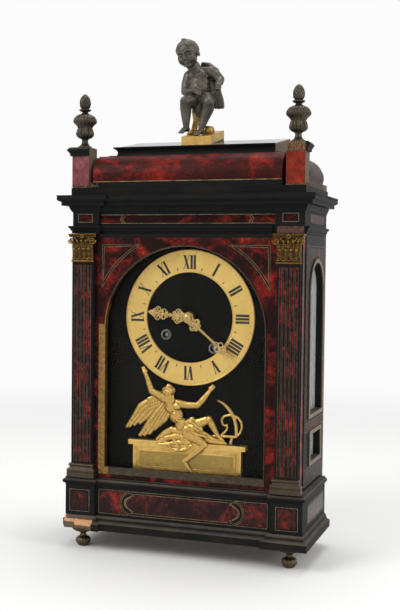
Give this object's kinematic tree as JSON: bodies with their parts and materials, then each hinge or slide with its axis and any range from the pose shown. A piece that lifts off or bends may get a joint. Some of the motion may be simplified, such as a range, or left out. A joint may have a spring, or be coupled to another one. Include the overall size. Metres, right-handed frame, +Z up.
{
  "type": "table clock",
  "caption": "Tall ebony and red tortoiseshell bracket clock with an arched glazed door, pilasters, gilt chapter ring, winged figure, vases, seated child and a striking pendulum movement.",
  "frame": {"origin": "centre of the footprint on the floor", "axes": "+Z up, +X to the right as seen from the front, +Y to the back; the dial faces -Y"},
  "size_m": [0.3396, 0.148, 0.668],
  "materials": {
    "ebony": "ebonised pear wood, waxed, worn at the edges",
    "tortoiseshell": "red-backed tortoiseshell veneer on wood, polished",
    "bare_wood": "bare softwood where veneer or moulding is lost",
    "carcass_wood": "plain dark-stained carcass wood",
    "gilt_bronze": "fire-gilt, matt and burnished",
    "brass": "old brass",
    "dark_bronze": "dark patinated bronze",
    "steel": "polished steel",
    "grey_metal": "grey silvered metal",
    "glass": "clear old glass",
    "velvet": "black velvet on a thin board"
  },
  "bodies": {
    "case": {"feet": "dark_bronze", "base_board": "bare_wood", "plinth_moulding": "ebony", "pedestal_box": "ebony", "pedestal_cap_moulding": "ebony", "left_side_panel": "tortoiseshell", "right_side_panel": "tortoiseshell", "side_window_glass": "glass", "side_window_frames": "brass", "back_board": "carcass_wood", "entablature_box": "ebony", "architrave_moulding": "ebony", "cornice_moulding": "ebony", "caddy_boards": "ebony", "corner_posts": "tortoiseshell", "post_caps": "ebony", "caddy_torus": "tortoiseshell", "roof_board": "bare_wood", "roof_moulding": "ebony", "vases": "dark_bronze", "putto_figure": "dark_bronze", "putto_block": "gilt_bronze", "dial_board": "velvet", "chapter_ring": "gilt_bronze", "winding_ferrules": "grey_metal", "time_figure": "gilt_bronze", "time_plinth": "gilt_bronze", "movement_plates": "brass", "movement_pillars": "brass", "movement_brackets": "brass", "bell": "brass", "hinge_case_leaves": "brass"},
    "door": {"door_head": "tortoiseshell", "door_stiles": "tortoiseshell", "door_bottom_rail": "ebony", "door_glass": "glass", "door_edging": "brass", "pilasters": "tortoiseshell", "pilaster_bases": "brass", "capitals": "gilt_bronze", "hinge_door_leaves": "brass"},
    "minute_work": {"minute_hand": "gilt_bronze"},
    "hour_work": {"hour_hand": "gilt_bronze"},
    "minute_wheel_body": {"minute_wheel": "brass"},
    "going_barrel_body": {"going_barrel": "brass"},
    "second_wheel_body": {"second_wheel": "brass"},
    "centre_wheel_body": {"centre_wheel": "brass"},
    "third_wheel_body": {"third_wheel": "brass"},
    "escape_wheel_body": {"escape_wheel": "brass"},
    "strike_barrel_body": {"strike_barrel": "brass"},
    "pin_wheel_body": {"pin_wheel": "brass"},
    "hoop_wheel_body": {"hoop_wheel": "brass"},
    "fly_body": {"fly": "brass"},
    "going_winder": {"going_winding_arbor": "steel"},
    "strike_winder": {"strike_winding_arbor": "steel"},
    "going_click_body": {"going_click": "steel"},
    "strike_click_body": {"strike_click": "steel"},
    "pendulum_body": {"anchor": "steel", "pendulum": "brass"},
    "hammer_body": {"hammer": "steel"}
  },
  "joints": [
    {"name": "door_hinge", "type": "hinge", "parent": "case", "child": "door", "pos_m": [-0.156, -0.042, 0.125], "axis": [0, 0, -1], "range_deg": [0, 110]},
    {"name": "minute_turn", "type": "hinge", "parent": "case", "child": "minute_work", "pos_m": [0, -0.041, 0.302], "axis": [0, 1, 0], "continuous": true},
    {"name": "hour_turn", "type": "hinge", "parent": "case", "child": "hour_work", "pos_m": [0, -0.0376, 0.302], "axis": [0, 1, 0], "continuous": true},
    {"name": "minute_wheel_turn", "type": "hinge", "parent": "case", "child": "minute_wheel_body", "pos_m": [0.0096, -0.012, 0.31863], "axis": [0, 1, 0], "continuous": true},
    {"name": "third_wheel_turn", "type": "hinge", "parent": "case", "child": "third_wheel_body", "pos_m": [-0.00683, 0.01, 0.3275], "axis": [0, 1, 0], "continuous": true},
    {"name": "centre_wheel_turn", "type": "hinge", "parent": "case", "child": "centre_wheel_body", "pos_m": [0, 0.01, 0.302], "axis": [0, 1, 0], "continuous": true},
    {"name": "second_wheel_turn", "type": "hinge", "parent": "case", "child": "second_wheel_body", "pos_m": [0.02576, 0.01, 0.29698], "axis": [0, 1, 0], "continuous": true},
    {"name": "going_barrel_turn", "type": "hinge", "parent": "case", "child": "going_barrel_body", "pos_m": [0.0332, 0.01, 0.2638], "axis": [0, 1, 0], "continuous": true},
    {"name": "escape_wheel_turn", "type": "hinge", "parent": "case", "child": "escape_wheel_body", "pos_m": [0, 0.01, 0.34957], "axis": [0, 1, 0], "continuous": true},
    {"name": "hoop_wheel_turn", "type": "hinge", "parent": "case", "child": "hoop_wheel_body", "pos_m": [-0.0356, 0.01, 0.33075], "axis": [0, 1, 0], "continuous": true},
    {"name": "pin_wheel_turn", "type": "hinge", "parent": "case", "child": "pin_wheel_body", "pos_m": [-0.0254, 0.01, 0.31308], "axis": [0, 1, 0], "continuous": true},
    {"name": "strike_barrel_turn", "type": "hinge", "parent": "case", "child": "strike_barrel_body", "pos_m": [-0.0313, 0.01, 0.2796], "axis": [0, 1, 0], "continuous": true},
    {"name": "fly_turn", "type": "hinge", "parent": "case", "child": "fly_body", "pos_m": [-0.0268, 0.01, 0.34599], "axis": [0, 1, 0], "continuous": true},
    {"name": "going_winding", "type": "hinge", "parent": "case", "child": "going_winder", "pos_m": [0.0332, -0.02, 0.2638], "axis": [0, 1, 0], "continuous": true},
    {"name": "strike_winding", "type": "hinge", "parent": "case", "child": "strike_winder", "pos_m": [-0.0313, -0.02, 0.2796], "axis": [0, 1, 0], "continuous": true},
    {"name": "going_click_lift", "type": "hinge", "parent": "case", "child": "going_click_body", "pos_m": [0.04425, -0.01, 0.2758], "axis": [0, -1, 0], "range_deg": [0, 20]},
    {"name": "strike_click_lift", "type": "hinge", "parent": "case", "child": "strike_click_body", "pos_m": [-0.04235, -0.01, 0.2916], "axis": [0, 1, 0], "range_deg": [0, 20]},
    {"name": "pendulum_swing", "type": "hinge", "parent": "case", "child": "pendulum_body", "pos_m": [0, 0.045, 0.36907], "axis": [0, 1, 0], "range_deg": [-4, 4]},
    {"name": "hammer_lift", "type": "hinge", "parent": "case", "child": "hammer_body", "pos_m": [-0.046, 0.003, 0.36], "axis": [0, -1, 0], "range_deg": [-2, 18]}
  ],
  "couplings": [
    {"joint": "hour_turn", "follows": "minute_turn", "ratio": 0.083333},
    {"joint": "minute_wheel_turn", "follows": "minute_turn", "ratio": -0.33333},
    {"joint": "centre_wheel_turn", "follows": "third_wheel_turn", "ratio": -0.1},
    {"joint": "second_wheel_turn", "follows": "third_wheel_turn", "ratio": 0.016667},
    {"joint": "going_barrel_turn", "follows": "third_wheel_turn", "ratio": -0.002381},
    {"joint": "escape_wheel_turn", "follows": "third_wheel_turn", "ratio": -9.5},
    {"joint": "pin_wheel_turn", "follows": "hoop_wheel_turn", "ratio": -0.13333},
    {"joint": "strike_barrel_turn", "follows": "hoop_wheel_turn", "ratio": 0.019048},
    {"joint": "fly_turn", "follows": "hoop_wheel_turn", "ratio": -7}
  ]
}
